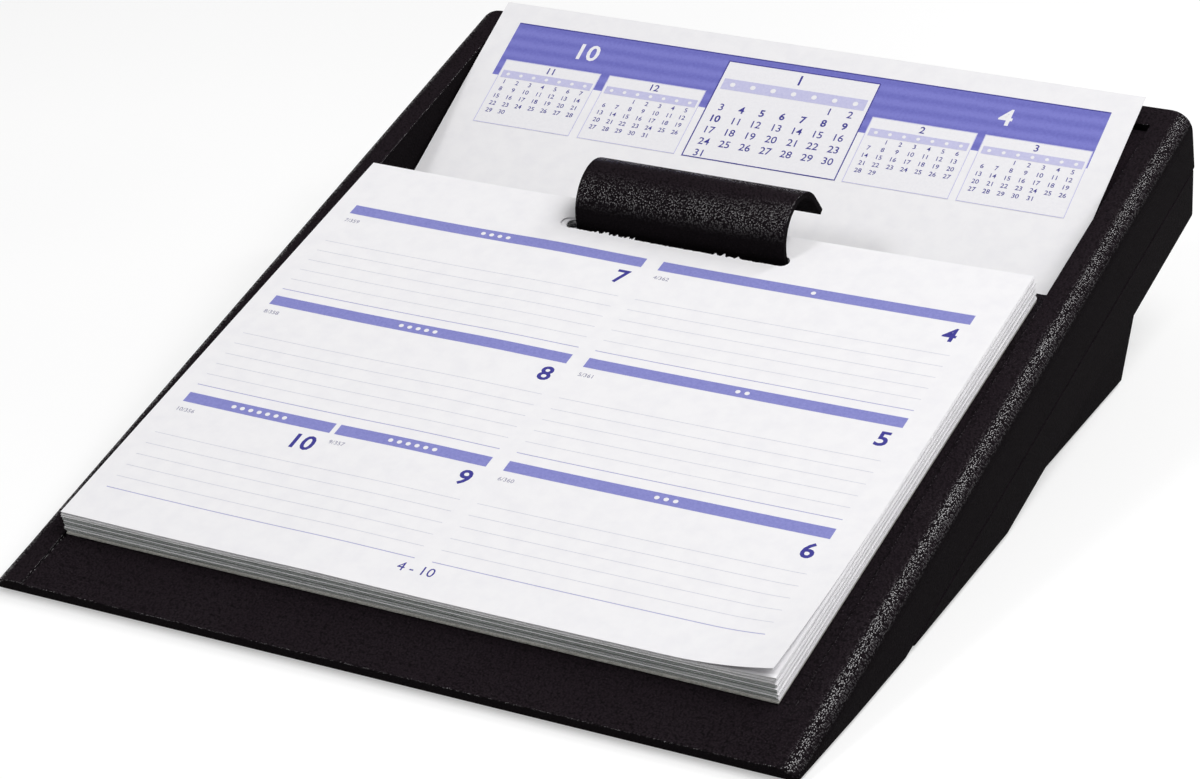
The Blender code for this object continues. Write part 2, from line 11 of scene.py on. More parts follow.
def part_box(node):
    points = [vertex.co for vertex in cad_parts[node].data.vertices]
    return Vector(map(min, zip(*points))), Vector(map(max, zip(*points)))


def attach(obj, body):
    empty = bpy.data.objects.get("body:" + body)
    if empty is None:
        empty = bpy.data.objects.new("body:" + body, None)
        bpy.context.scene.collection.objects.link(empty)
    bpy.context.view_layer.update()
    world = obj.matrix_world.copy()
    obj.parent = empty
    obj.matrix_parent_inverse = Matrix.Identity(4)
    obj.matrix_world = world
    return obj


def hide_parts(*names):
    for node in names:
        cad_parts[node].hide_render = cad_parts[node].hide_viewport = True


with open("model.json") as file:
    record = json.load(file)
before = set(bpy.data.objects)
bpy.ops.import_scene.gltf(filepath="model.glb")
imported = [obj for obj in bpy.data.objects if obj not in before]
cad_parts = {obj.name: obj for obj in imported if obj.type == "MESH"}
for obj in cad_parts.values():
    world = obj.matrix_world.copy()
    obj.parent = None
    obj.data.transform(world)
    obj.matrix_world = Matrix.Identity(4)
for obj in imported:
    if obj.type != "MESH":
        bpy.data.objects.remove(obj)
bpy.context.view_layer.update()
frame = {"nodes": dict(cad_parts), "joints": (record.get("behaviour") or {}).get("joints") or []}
nodes = frame["nodes"]
joints = {joint["name"]: joint for joint in frame["joints"]}
mm = 0.001
draw = random.Random(7)  # the same draws at every run
print("frame loaded:", len(nodes), "nodes")


# The plate's slope: x across, v up the slope from the base's front edge, w square to the plate. The turning
# joint's place on it finds the slope in the frame
slope = {"tilt": radians(12.7), "flipV": 161.15 * mm, "flipW": 7.22 * mm}
flipPoint = Vector(joints["turn_current_week"]["pos_m"])
slopeTurn = Matrix.Rotation(slope["tilt"], 4, "X")
slopeStart = flipPoint - slopeTurn @ Vector((0, slope["flipV"], slope["flipW"]))
slopeMatrix = Matrix.Translation(slopeStart) @ slopeTurn


def onSlope(x, v, w):
    return slopeMatrix @ Vector((x, v, w))


# Camera, fitted to the photograph in the slope's frame
view = {
    "lens": 107.03,
    "sensor": 36,
    "near": 10 * mm,
    "place": (358.66 * mm, -449.88 * mm, 494.15 * mm),
    "right": (0.8845, 0.44549, -0.13858),
    "down": (0.17512, -0.59234, -0.78643),
    "forward": (-0.43243, 0.67132, -0.60193),
}


def makeCamera():
    data = bpy.data.cameras.new("photo_camera")
    data.lens = view["lens"]
    data.sensor_width = view["sensor"]
    data.clip_start = view["near"]
    camera = bpy.data.objects.new("photo_camera", data)
    bpy.context.scene.collection.objects.link(camera)
    axes = (Vector(view["right"]), -Vector(view["down"]), -Vector(view["forward"]))
    turn = Matrix(axes).transposed().to_4x4()
    camera.matrix_world = slopeMatrix @ Matrix.Translation(view["place"]) @ turn
    bpy.context.scene.camera = camera


makeCamera()
print("camera placed")


# Materials

def linear(hexColour):
    parts = [int(hexColour[i:i + 2], 16) / 255 for i in (1, 3, 5)]
    return tuple(c / 12.92 if c <= 0.04045 else ((c + 0.055) / 1.055) ** 2.4 for c in parts) + (1,)


# A link is named for the input that it feeds, with _ for a space, or i0, i1 and so on for its number
def addNode(tree, kind, settings=None, **links):
    node = tree.nodes.new("ShaderNode" + kind)
    for name, value in (settings or {}).items():
        if name == "stops":  # a colour ramp's places and hex colours
            elements = node.color_ramp.elements
            while len(elements) < len(value):
                elements.new(0.5)
            for element, (place, colour) in zip(elements, value):
                element.position = place
                element.color = linear(colour)
        elif isinstance(name, int) or name in node.inputs:
            node.inputs[name].default_value = value
        else:
            setattr(node, name, value)
    for name, source in links.items():
        key = int(name[1:]) if name[0] == "i" and name[1:].isdigit() else name.replace("_", " ")
        tree.links.new(source, node.inputs[key])
    return node


def newMaterial(name):
    material = bpy.data.materials.new(name)
    material.use_nodes = True
    material.node_tree.nodes.clear()
    return material, material.node_tree


# Texture scale of a pattern with this size
def perMetre(sizeMm):
    return 1 / (sizeMm * mm)


# ABS, moulded in a spark-eroded tool: near black with a breath of mauve, dull in the pits and on the
# sides. Its colour is painted lighter on faces that look up and darker on the sides, as painted light and
# shade. Hands have polished the grain's tops on faces that look up, most of all along the round edges,
# which breaks the highlights there into sparkling points
def mouldedAbs(name, polish):
    look = {
        # the tones' rubbed end is reached by the grain's tops, and by faces that look up as painted light
        "tones": [(0.1, "#100d0f"), (0.45, "#171316"), (0.9, "#211a1f")],  # pits, body, rubbed tops
        "grain": 0.5, "fine": 0.3, "patch": 14,  # the grain is about twice as coarse as real, to show
        "relief": 0.067 * mm, "edge": 0.4 * mm, "domeSpread": 0.35, "fineShare": 0.25,
        "side": 0.3, "upward": 0.7, "round": 0.92, "flat": 0.995,  # cosines to the plate's up
        "onFlats": 0.12, "lightening": 0.6, "toneRise": 0.35, "patchSwing": 0.15, "topsFrom": 0.4, "topsFull": 0.75,
        "rough": 0.9, "specular": 0.03, "polishRough": 0.17, "polishIor": 1.8,  # high, for strong glints
    }
    material, tree = newMaterial(name)
    place = addNode(tree, "TexCoord").outputs["Object"]
    pebble = addNode(tree, "TexVoronoi", {"Scale": perMetre(look["grain"]), "Randomness": 0.85}, Vector=place)
    fine = addNode(tree, "TexNoise", {"Scale": perMetre(look["fine"]), "Detail": 1.0}, Vector=place)
    patch = addNode(tree, "TexNoise", {"Scale": perMetre(look["patch"]), "Detail": 3.0}, Vector=place)
    fall = addNode(tree, "Math", {"operation": "MULTIPLY"}, i0=pebble.outputs["Distance"],
                   i1=pebble.outputs["Distance"])  # square of the distance makes each pebble a round dome
    dome = addNode(tree, "MapRange", {"From Max": look["domeSpread"], "To Min": 1.0, "To Max": 0.0,
                                      "clamp": False}, Value=fall.outputs[0])
    height = addNode(tree, "Math", {"operation": "MULTIPLY_ADD", 1: look["fineShare"]},
                     i0=fine.outputs["Fac"], i2=dome.outputs["Result"])
    soft = addNode(tree, "Bevel", {"samples": 6, "Radius": look["edge"]})
    bump = addNode(tree, "Bump", {"Strength": 1.0, "Distance": look["relief"]},
                   Height=height.outputs[0], Normal=soft.outputs["Normal"])
    up = slopeTurn.to_3x3() @ Vector((0, 0, 1))
    facing = addNode(tree, "VectorMath", {"operation": "DOT_PRODUCT", 1: up}, i0=soft.outputs["Normal"])
    facingUp = addNode(tree, "MapRange", {"interpolation_type": "SMOOTHSTEP", "From Min": look["side"],
                                         "From Max": look["upward"]}, Value=facing.outputs["Value"])
    rubbed = addNode(tree, "MapRange", {"interpolation_type": "SMOOTHSTEP", "From Min": look["round"],
                                        "From Max": look["flat"], "To Min": 1.0, "To Max": look["onFlats"]},
                     Value=facing.outputs["Value"])
    handled = addNode(tree, "Math", {"operation": "MULTIPLY"}, i0=facingUp.outputs["Result"],
                      i1=rubbed.outputs["Result"])
    # painted light and shade: faces that look up are lifted towards the lighter tones, and the sides stay
    # darker
    lightening = addNode(tree, "MapRange", {"To Max": look["lightening"]}, Value=facingUp.outputs["Result"])
    tone = addNode(tree, "Math", {"operation": "MULTIPLY_ADD", 1: look["toneRise"]}, i0=height.outputs[0],
                   i2=lightening.outputs["Result"])
    colour = addNode(tree, "ValToRGB", {"stops": look["tones"]}, Fac=tone.outputs[0])
    worn = addNode(tree, "MapRange", {"From Min": 0.3, "From Max": 0.7, "To Min": -look["patchSwing"],
                                      "To Max": look["patchSwing"]}, Value=patch.outputs["Fac"])
    level = addNode(tree, "Math", {"operation": "ADD"}, i0=height.outputs[0], i1=worn.outputs["Result"])
    tops = addNode(tree, "MapRange", {"From Min": look["topsFrom"], "From Max": look["topsFull"],
                                      "To Max": polish}, Value=level.outputs[0])
    shine = addNode(tree, "Math", {"operation": "MULTIPLY"}, i0=tops.outputs["Result"], i1=handled.outputs[0])
    shader = addNode(tree, "BsdfPrincipled", {
        "Roughness": look["rough"], "IOR": 1.5, "Specular IOR Level": look["specular"],
        "Coat Roughness": look["polishRough"], "Coat IOR": look["polishIor"],
    }, Base_Color=colour.outputs["Color"], Coat_Weight=shine.outputs[0],
        Normal=bump.outputs["Normal"], Coat_Normal=bump.outputs["Normal"])
    addNode(tree, "OutputMaterial", Surface=shader.outputs["BSDF"])
    return material


# Uncoated bond paper: a bright, very slightly violet white, with cloudy formation and a felt of fibres
def bondPaper():
    look = {
        "tones": [(0.32, "#f2f1f4"), (0.6, "#f6f5f7")], "cloud": 4.5,
        "fibre": 0.45, "relief": 0.012 * mm,  # fibres coarser than real, so that they show
    }
    material, tree = newMaterial("uncoated_bond_paper")
    place = addNode(tree, "TexCoord").outputs["Object"]
    cloud = addNode(tree, "TexNoise", {"Scale": perMetre(look["cloud"]), "Detail": 5.0, "Roughness": 0.6},
                    Vector=place)
    fibre = addNode(tree, "TexNoise", {"Scale": perMetre(look["fibre"]), "Detail": 3.0,
                                       "Distortion": 1.5}, Vector=place)
    colour = addNode(tree, "ValToRGB", {"stops": look["tones"]}, Fac=cloud.outputs["Fac"])
    bump = addNode(tree, "Bump", {"Strength": 0.35, "Distance": look["relief"]},
                   Height=fibre.outputs["Fac"])
    rough = addNode(tree, "MapRange", {"To Min": 0.66, "To Max": 0.82}, Value=fibre.outputs["Fac"])
    shader = addNode(tree, "BsdfPrincipled", {"IOR": 1.45, "Specular IOR Level": 0.25},
                     Base_Color=colour.outputs["Color"], Roughness=rough.outputs["Result"],
                     Normal=bump.outputs["Normal"])
    addNode(tree, "OutputMaterial", Surface=shader.outputs["BSDF"])
    return material


# Guillotined edges of the same paper, in fine streaks along the cut. The sideways faces are painted white as
# lit;
# the front ones are painted in bands up the pad, some white and the rest with grey-green painted shade
# between the sheets
def cutPaperEdge():
    look = {
        "layers": [  # up the pad, from its foot to its head
            (0.0, "#f4f3ef"), (0.17, "#f0f0ec"), (0.19, "#7d8881"), (0.23, "#d0d4ce"), (0.27, "#768179"),
            (0.31, "#b4bbb5"), (0.62, "#a0a9a3"), (0.84, "#bac0bb"), (0.9, "#f0efee"),
        ],
        "foot": 0.3 * mm, "head": 6.2 * mm, "stir": 0.35 * mm, "relief": 0.05 * mm,
        "streak": 30, "layer": 0.3,  # a streak is as thick as three sheets, so that it shows
        "grain": [(0.3, "#8f958f"), (0.62, "#ffffff")], "sides": [(0.38, "#cfccd2"), (0.56, "#f8f7f8")],
    }
    material, tree = newMaterial("cut_paper_edge")
    place = addNode(tree, "TexCoord").outputs["Object"]
    level = addNode(tree, "Mapping", {"Rotation": (-slope["tilt"], 0, 0),
                                      "Location": slopeTurn.inverted() @ -slopeStart}, Vector=place)
    stretch = addNode(tree, "Mapping", {"Scale": (perMetre(look["streak"]), perMetre(look["streak"]),
                                                  perMetre(look["layer"]))}, Vector=level.outputs["Vector"])
    streak = addNode(tree, "TexNoise", {"Scale": 1.0, "Detail": 4.0, "Roughness": 0.65},
                     Vector=stretch.outputs["Vector"])
    height = addNode(tree, "SeparateXYZ", Vector=level.outputs["Vector"]).outputs["Z"]
    stirred = addNode(tree, "Math", {"operation": "MULTIPLY_ADD", 1: look["stir"]},
                      i0=streak.outputs["Fac"], i2=height)  # the layers' borders waver
    share = addNode(tree, "MapRange", {"From Min": look["foot"] + look["stir"] / 2, "From Max": look["head"]},
                    Value=stirred.outputs[0])
    layers = addNode(tree, "ValToRGB", {"stops": look["layers"]}, Fac=share.outputs["Result"])
    grain = addNode(tree, "ValToRGB", {"stops": look["grain"]}, Fac=streak.outputs["Fac"])
    front = addNode(tree, "MixRGB", {"blend_type": "MULTIPLY", "Fac": 1.0},
                    Color1=layers.outputs["Color"], Color2=grain.outputs["Color"])
    # faces that turn sideways, towards the light, are painted white as lit; the front faces keep the bands of
    # painted shade, darker in the streaks
    side = addNode(tree, "ValToRGB", {"stops": look["sides"]}, Fac=streak.outputs["Fac"])
    turned = addNode(tree, "SeparateXYZ", Vector=addNode(tree, "NewGeometry").outputs["True Normal"])
    sideways = addNode(tree, "Math", {"operation": "ABSOLUTE"}, i0=turned.outputs["X"])
    sideLitShare = addNode(tree, "MapRange", {"From Min": 0.5, "From Max": 0.8}, Value=sideways.outputs[0])
    colour = addNode(tree, "MixRGB", Fac=sideLitShare.outputs["Result"], Color1=front.outputs["Color"],
                     Color2=side.outputs["Color"])
    bump = addNode(tree, "Bump", {"Strength": 0.5, "Distance": look["relief"]}, Height=streak.outputs["Fac"])
    shader = addNode(tree, "BsdfPrincipled", {"Roughness": 0.85, "Specular IOR Level": 0.15},
                     Base_Color=colour.outputs["Color"], Normal=bump.outputs["Normal"])
    addNode(tree, "OutputMaterial", Surface=shader.outputs["BSDF"])
    return material


# The same cut edges inside the slot, painted near black as the shade deep in the slot under the arch
def smudgedEdge():
    look = {"tones": [(0.4, "#0b090a"), (0.8, "#191718")], "shadeMottle": 1.2, "relief": 0.03 * mm}
    material, tree = newMaterial("slot_shade_paper_edge")
    place = addNode(tree, "TexCoord").outputs["Object"]
    shadeMottle = addNode(tree, "TexNoise", {"Scale": perMetre(look["shadeMottle"]), "Detail": 4.0, "Roughness": 0.7},
                    Vector=place)
    colour = addNode(tree, "ValToRGB", {"stops": look["tones"]}, Fac=shadeMottle.outputs["Fac"])
    bump = addNode(tree, "Bump", {"Strength": 0.4, "Distance": look["relief"]}, Height=shadeMottle.outputs["Fac"])
    shader = addNode(tree, "BsdfPrincipled", {"Roughness": 0.9, "Specular IOR Level": 0.1},
                     Base_Color=colour.outputs["Color"], Normal=bump.outputs["Normal"])
    addNode(tree, "OutputMaterial", Surface=shader.outputs["BSDF"])
    return material


# Chipboard of the pad's back: warm grey, flecked with darker and lighter fibre
def chipboard():
    look = {"tones": [(0.35, "#a8a7a0"), (0.62, "#d4d2cc")], "fleck": 0.9, "relief": 0.02 * mm}
    material, tree = newMaterial("grey_chipboard")
    place = addNode(tree, "TexCoord").outputs["Object"]
    fleck = addNode(tree, "TexNoise", {"Scale": perMetre(look["fleck"]), "Detail": 6.0, "Roughness": 0.7},
                    Vector=place)
    colour = addNode(tree, "ValToRGB", {"stops": look["tones"]}, Fac=fleck.outputs["Fac"])
    bump = addNode(tree, "Bump", {"Strength": 0.4, "Distance": look["relief"]}, Height=fleck.outputs["Fac"])
    shader = addNode(tree, "BsdfPrincipled", {"Roughness": 0.85},
                     Base_Color=colour.outputs["Color"], Normal=bump.outputs["Normal"])
    addNode(tree, "OutputMaterial", Surface=shader.outputs["BSDF"])
    return material


# Offset ink on paper: matt, and a little uneven where the fibres took it. A screen is the pitch in mm of
# lines across it, drawn far coarser than a printer's so that they show
def offsetInk(name, dark, light, screen=0.0):
    look = {
        "mottle": 0.7, "relief": 0.01 * mm,
        "dark": 0.3, "light": 0.75, "screenLight": 0.95, "lines": 0.45,
    }
    material, tree = newMaterial(name)
    place = addNode(tree, "TexCoord").outputs["Object"]
    mottle = addNode(tree, "TexNoise", {"Scale": perMetre(look["mottle"]), "Detail": 4.0, "Roughness": 0.7},
                     Vector=place)
    amount, full = mottle.outputs["Fac"], look["light"]
    if screen:
        turns = 2 * pi / 20  # the wave texture runs through 20 radians in each unit
        lines = addNode(tree, "TexWave", {"Scale": turns * perMetre(screen), "bands_direction": "Y",
                                          "Distortion": 0.6, "Detail": 1.0}, Vector=place)
        amount = addNode(tree, "Math", {"operation": "MULTIPLY_ADD", 1: look["lines"]},
                         i0=lines.outputs["Fac"], i2=amount).outputs[0]
        full = look["screenLight"]
    colour = addNode(tree, "ValToRGB", {"stops": [(look["dark"], dark), (full, light)]}, Fac=amount)
    bump = addNode(tree, "Bump", {"Strength": 0.3, "Distance": look["relief"]}, Height=mottle.outputs["Fac"])
    shader = addNode(tree, "BsdfPrincipled", {"Roughness": 0.7, "Specular IOR Level": 0.25},
                     Base_Color=colour.outputs["Color"], Normal=bump.outputs["Normal"])
    addNode(tree, "OutputMaterial", Surface=shader.outputs["BSDF"])
    return material


# Zinc plated steel screws: bright, finely turned, a little yellowed in the low spots
def zincSteel():
    look = {"tones": [(0.3, "#8f8b80"), (0.7, "#c9cacb")], "turning": 0.25}
    material, tree = newMaterial("zinc_plated_steel")
    place = addNode(tree, "TexCoord").outputs["Object"]
    turned = addNode(tree, "TexNoise", {"Scale": perMetre(look["turning"]), "Detail": 3.0}, Vector=place)
    colour = addNode(tree, "ValToRGB", {"stops": look["tones"]}, Fac=turned.outputs["Fac"])
    rough = addNode(tree, "MapRange", {"To Min": 0.22, "To Max": 0.4}, Value=turned.outputs["Fac"])
    shader = addNode(tree, "BsdfPrincipled", {"Metallic": 1.0}, Base_Color=colour.outputs["Color"],
                     Roughness=rough.outputs["Result"])
    addNode(tree, "OutputMaterial", Surface=shader.outputs["BSDF"])
    return material


# Die-cut rubber feet: dull charcoal with a dusty open surface
def footRubber():
    look = {"tones": [(0.35, "#1b1b1b"), (0.7, "#303030")], "lightening": 0.5, "relief": 0.05 * mm}
    material, tree = newMaterial("die_cut_rubber")
    place = addNode(tree, "TexCoord").outputs["Object"]
    lightening = addNode(tree, "TexNoise", {"Scale": perMetre(look["lightening"]), "Detail": 5.0}, Vector=place)
    colour = addNode(tree, "ValToRGB", {"stops": look["tones"]}, Fac=lightening.outputs["Fac"])
    bump = addNode(tree, "Bump", {"Strength": 0.5, "Distance": look["relief"]}, Height=lightening.outputs["Fac"])
    shader = addNode(tree, "BsdfPrincipled", {"Roughness": 0.9, "Specular IOR Level": 0.2},
                     Base_Color=colour.outputs["Color"], Normal=bump.outputs["Normal"])
    addNode(tree, "OutputMaterial", Surface=shader.outputs["BSDF"])
    return material


handledAbs = mouldedAbs("moulded_black_abs", 1.0)
freshAbs = mouldedAbs("unworn_black_abs", 0.0)  # below the parting line, where no hand reaches
paper = bondPaper()
edge = cutPaperEdge()
slotShade = smudgedEdge()
board = chipboard()
steel = zincSteel()
rubber = footRubber()
barInk = offsetInk("periwinkle_ink", "#8183c6", "#9597d6")
bandInk = offsetInk("periwinkle_band_ink", "#6a6bbd", "#8081cf", screen=3.456)
deepInk = offsetInk("indigo_ink", "#3a378c", "#4b48a2")
ruleInk = offsetInk("pale_grey_ink", "#cfcfda", "#dcdce6")
lineInk = offsetInk("violet_line_ink", "#a3a2cf", "#b4b3da")
tintInk = offsetInk("lilac_tint_ink", "#c3c2e6", "#d2d1ee")
smallInk = offsetInk("grey_violet_ink", "#85849f", "#9a99b2")
whiteInk = offsetInk("unprinted_white", "#f0eff3", "#f7f6f9")
print("materials made")


# A piece rides its body, and hides the CAD nodes that it stands for
def addPiece(name, mesh, materials, body, stands=()):
    piece = bpy.data.objects.new(name, mesh)
    bpy.context.scene.collection.objects.link(piece)
    for material in materials:
        mesh.materials.append(material)
    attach(piece, body)
    if stands:
        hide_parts(*stands)


# Plastic mouldings: the CAD shapes with their edges eased and their rounds smooth. The parting line's height
# is given on the slope, at the front edge and by its climb
mouldings = {
    "cover_moulding": {"node": "top_cover", "plastic": handledAbs, "ease": 0.2 * mm, "openUp": 0.1 * mm},
    "base_moulding": {"node": "bottom_shell", "plastic": freshAbs, "ease": 0.25 * mm, "openUp": -0.25 * mm},
    "arch_moulding": {"node": "page_arch", "plastic": handledAbs, "ease": 0.25 * mm},
    "chute_moulding": {"node": "page_chute", "plastic": freshAbs, "ease": 0.15 * mm},
}
parting = {"front": -15.1 * mm, "climb": radians(1.04), "reach": 0.35 * mm}
easing = {
    "weld": 0.002 * mm, "flat": radians(0.2), "sharp": radians(35), "crease": radians(32), "profile": 0.6,
}


def easedMoulding(name, look):
    bm = bmesh.new()
    bm.from_mesh(nodes[look["node"]].data)
    bmesh.ops.remove_doubles(bm, verts=bm.verts, dist=easing["weld"])
    bmesh.ops.dissolve_limit(bm, angle_limit=easing["flat"], verts=bm.verts, edges=bm.edges)
    seam = set()  # the two faces that meet at the parting line stay crisp, and draw apart a little
    if "openUp" in look:
        toSlope = slopeMatrix.inverted()
        for vert in bm.verts:
            at = toSlope @ vert.co
            if abs(at.z - parting["front"] - at.y * sin(parting["climb"])) < parting["reach"]:
                seam.add(vert)
        for vert in seam:
            vert.co += slopeTurn.to_3x3() @ Vector((0, 0, look["openUp"]))
    sharp = [e for e in bm.edges if e.is_manifold and e.calc_face_angle(0) > easing["sharp"]
             and not seam.issuperset(e.verts)]
    bmesh.ops.bevel(bm, geom=sharp, offset=look["ease"], segments=2, profile=easing["profile"],
                    affect="EDGES", clamp_overlap=True)
    bmesh.ops.recalc_face_normals(bm, faces=bm.faces)
    mesh = bpy.data.meshes.new(name)
    bm.to_mesh(mesh)
    bm.free()
    mesh.shade_smooth()
    mesh.set_sharp_from_angle(angle=easing["crease"])
    addPiece(name, mesh, [look["plastic"]], "base", [look["node"]])


for name, look in mouldings.items():
    easedMoulding(name, look)
fittings = {"_screw": steel, "_foot": rubber}  # CAD shapes kept as they are, by the ends of their names
for name, node in nodes.items():
    for ending, material in fittings.items():
        if name.endswith(ending):
            node.data.materials.clear()
            node.data.materials.append(material)
print("mouldings eased")


# Sheets: u across from the page's left edge, v up from its front edge
page = {
    "width": 177.8 * mm, "length": 142.9 * mm, "thickness": 0.1 * mm, "top": 6.34 * mm,
    "turn": -0.005, "backX": -0.986 * mm, "backV": 160.706 * mm,  # how it lies, at its back edge's middle
    "slotLeft": 58.9 * mm, "slotRight": 120 * mm,  # slot ends, from the left edge
    "slotFront": 11.7 * mm, "slotBack": 7.8 * mm,  # from the back edge
    "tear": 0.14 * mm,  # how ragged the slot's front edge is
    "fibres": ((68 * mm, 80 * mm), (101 * mm, 109 * mm)), "fibre": 1.1 * mm,  # where fibres stand out of it
    "net": {"outline": 2 * mm, "slot": 0.35 * mm, "grid": 2 * mm}, "roundSteps": 8,
    "hair": 0.01 * mm,  # a point this near the outline lies on it
    "crease": radians(30),  # an edge that turns more than this stays sharp
}


def onPage(u, v, w):
    x, y = u - page["width"] / 2, v - page["length"]
    turn = page["turn"]
    across = page["backX"] + x * cos(turn) - y * sin(turn)
    return onSlope(across, page["backV"] + x * sin(turn) + y * cos(turn), w)


# How the loose sheets lift from flat: a little at the left, in a wave, and more to the right. The top one
# also has a dog-eared front corner, and stands off the next at its slot's left end
lift = {
    "left": 0.3 * mm, "leftReach": 32 * mm, "leftCurl": 1.6,
    "wave": 0.22 * mm, "waveAt": 66 * mm, "waveWide": 15 * mm,
    "right": 1.1 * mm, "rightFrom": 96 * mm, "rightCurl": 1.7, "rightFront": 0.45,
    "corner": 3.2 * mm, "cornerAcross": 25 * mm, "cornerUp": 62 * mm,
    "slot": 0.3 * mm, "slotReach": 9 * mm,
}


def bow(u, v):
    left = lift["left"] * max(0, 1 - u / lift["leftReach"]) ** lift["leftCurl"]
    wave = lift["wave"] * exp(-(((u - lift["waveAt"]) / lift["waveWide"]) ** 2))
    far = max(0, u - lift["rightFrom"]) / (page["width"] - lift["rightFrom"])
    share = lift["rightFront"] + (1 - lift["rightFront"]) * v / page["length"]
    return left + wave + lift["right"] * far ** lift["rightCurl"] * share


def dogEar(u, v):
    near = 1 - (page["width"] - u) / lift["cornerAcross"] - v / lift["cornerUp"]
    fromSlot = hypot(u - page["slotLeft"], v - page["length"] + page["slotBack"]) / lift["slotReach"]
    return lift["corner"] * max(0, near) ** 2 + lift["slot"] * exp(-fromSlot ** 2)


def alongLine(start, end, step):
    count = max(1, round(hypot(end[0] - start[0], end[1] - start[1]) / step))
    return [(start[0] + (end[0] - start[0]) * i / count, start[1] + (end[1] - start[1]) * i / count)
            for i in range(count)]


# The slot's outline: its front edge, torn or clean, and then its round ends
def slotRing(left, right, tear, step):
    front, back = page["length"] - page["slotFront"], page["length"] - page["slotBack"]
    radius = (back - front) / 2
    middle = front + radius
    ring = alongLine((left + radius, front), (right - radius, front), step)
    if tear:
        torn = []
        for u, v in ring:
            reach = page["fibre"] if any(a < u < b for a, b in page["fibres"]) else tear
            ragged = draw.uniform(-tear, tear)
            strand = draw.uniform(0, reach)
            torn.append((u, v + draw.choice((ragged, strand))))
        ring = torn
    steps = page["roundSteps"]
    for end, start in ((right - radius, -pi / 2), (left + radius, pi / 2)):
        turns = [start + pi * i / steps for i in range(steps + 1)]
        ring += [(end + radius * cos(t), middle + radius * sin(t)) for t in turns]
    return ring


# A sheet's points and triangles, as fine as the given steps
def pageNet(steps, slotLeft, slotRight, tear=0.0):
    width, length, grid = page["width"], page["length"], steps["grid"]
    corners = [(0, 0), (width, 0), (width, length), (0, length)]
    outline = []
    for i in range(4):
        outline += alongLine(corners[i], corners[(i + 1) % 4], steps["outline"])
    ring = slotRing(slotLeft, slotRight, tear, steps["slot"])
    points = outline + ring
    edges = [(i, (i + 1) % len(outline)) for i in range(len(outline))]
    edges += [(len(outline) + i, len(outline) + (i + 1) % len(ring)) for i in range(len(ring))]
    across, up = round(width / grid), round(length / grid)
    front, back = length - page["slotFront"] - grid / 2, length - page["slotBack"] + grid / 2
    for i in range(1, across):
        for j in range(1, up):
            u, v = width * i / across, length * j / up
            if not (slotLeft - grid / 2 < u < slotRight + grid / 2 and front < v < back):
                points.append((u, v))
    within, weld = 1, 1e-7  # triangles within the outline only, and the distance that joins points
    made = delaunay_2d_cdt([Vector(p) for p in points], edges, [], within, weld)
    net, faces = made[0], made[2]

    def inSlot(face):
        u = sum(net[i][0] for i in face) / 3
        v = sum(net[i][1] for i in face) / 3
        inside = False
        if v > length - page["slotFront"] - page["tear"]:
            for (a, b), (c, d) in zip(ring, ring[1:] + ring[:1]):
                if (b > v) != (d > v) and u < a + (v - b) / (d - b) * (c - a):
                    inside = not inside
        return inside

    return [(p[0], p[1]) for p in net], [f for f in faces if not inSlot(f)]


def onOutline(point):
    u, v = point
    return min(u, v, page["width"] - u, page["length"] - v) < page["hair"]


# A thin layer between two surfaces. The looks say which material goes on its faces, the walls of its outline
# and the walls of its slot
def addLayer(bm, net, lowPlace, highPlace, looks=(0, 0, 0)):
    points, faces = net
    faceLook, outerLook, slotLook = looks
    low = [bm.verts.new(lowPlace(*p)) for p in points]
    high = [bm.verts.new(highPlace(*p)) for p in points]
    used = {}  # the faces' edges, by direction
    for face in faces:
        for k, a in enumerate(face):
            b = face[(k + 1) % len(face)]
            used[(a, b)] = True
        bm.faces.new([high[i] for i in face]).material_index = faceLook
        bm.faces.new([low[i] for i in reversed(face)]).material_index = faceLook
    for a, b in used:
        if (b, a) not in used:
            wall = bm.faces.new((high[b], high[a], low[a], low[b]))
            wall.material_index = outerLook if onOutline(points[a]) else slotLook


def meshFrom(bm, name, smooth=True):
    loose = [v for v in bm.verts if not v.link_faces]
    bmesh.ops.delete(bm, geom=loose, context="VERTS")
    bmesh.ops.recalc_face_normals(bm, faces=bm.faces)
    mesh = bpy.data.meshes.new(name)
    bm.to_mesh(mesh)
    bm.free()
    if smooth:
        mesh.shade_smooth()
        mesh.set_sharp_from_angle(angle=page["crease"])
    return mesh


def topFace(u, v, rise=0):
    return onPage(u, v, page["top"] + bow(u, v) + dogEar(u, v) + rise)


def underFace(u, v, rise=0):
    return onPage(u, v, page["top"] - page["thickness"] + bow(u, v) + dogEar(u, v) - rise)


def makeTopSheet():
    net = pageNet(page["net"], page["slotLeft"], page["slotRight"], page["tear"])
    bm = bmesh.new()
    addLayer(bm, net, underFace, topFace)
    mesh = meshFrom(bm, "current_week_page")
    addPiece("current_week_page", mesh, [paper], "current_week", ["current_week_sheet"])


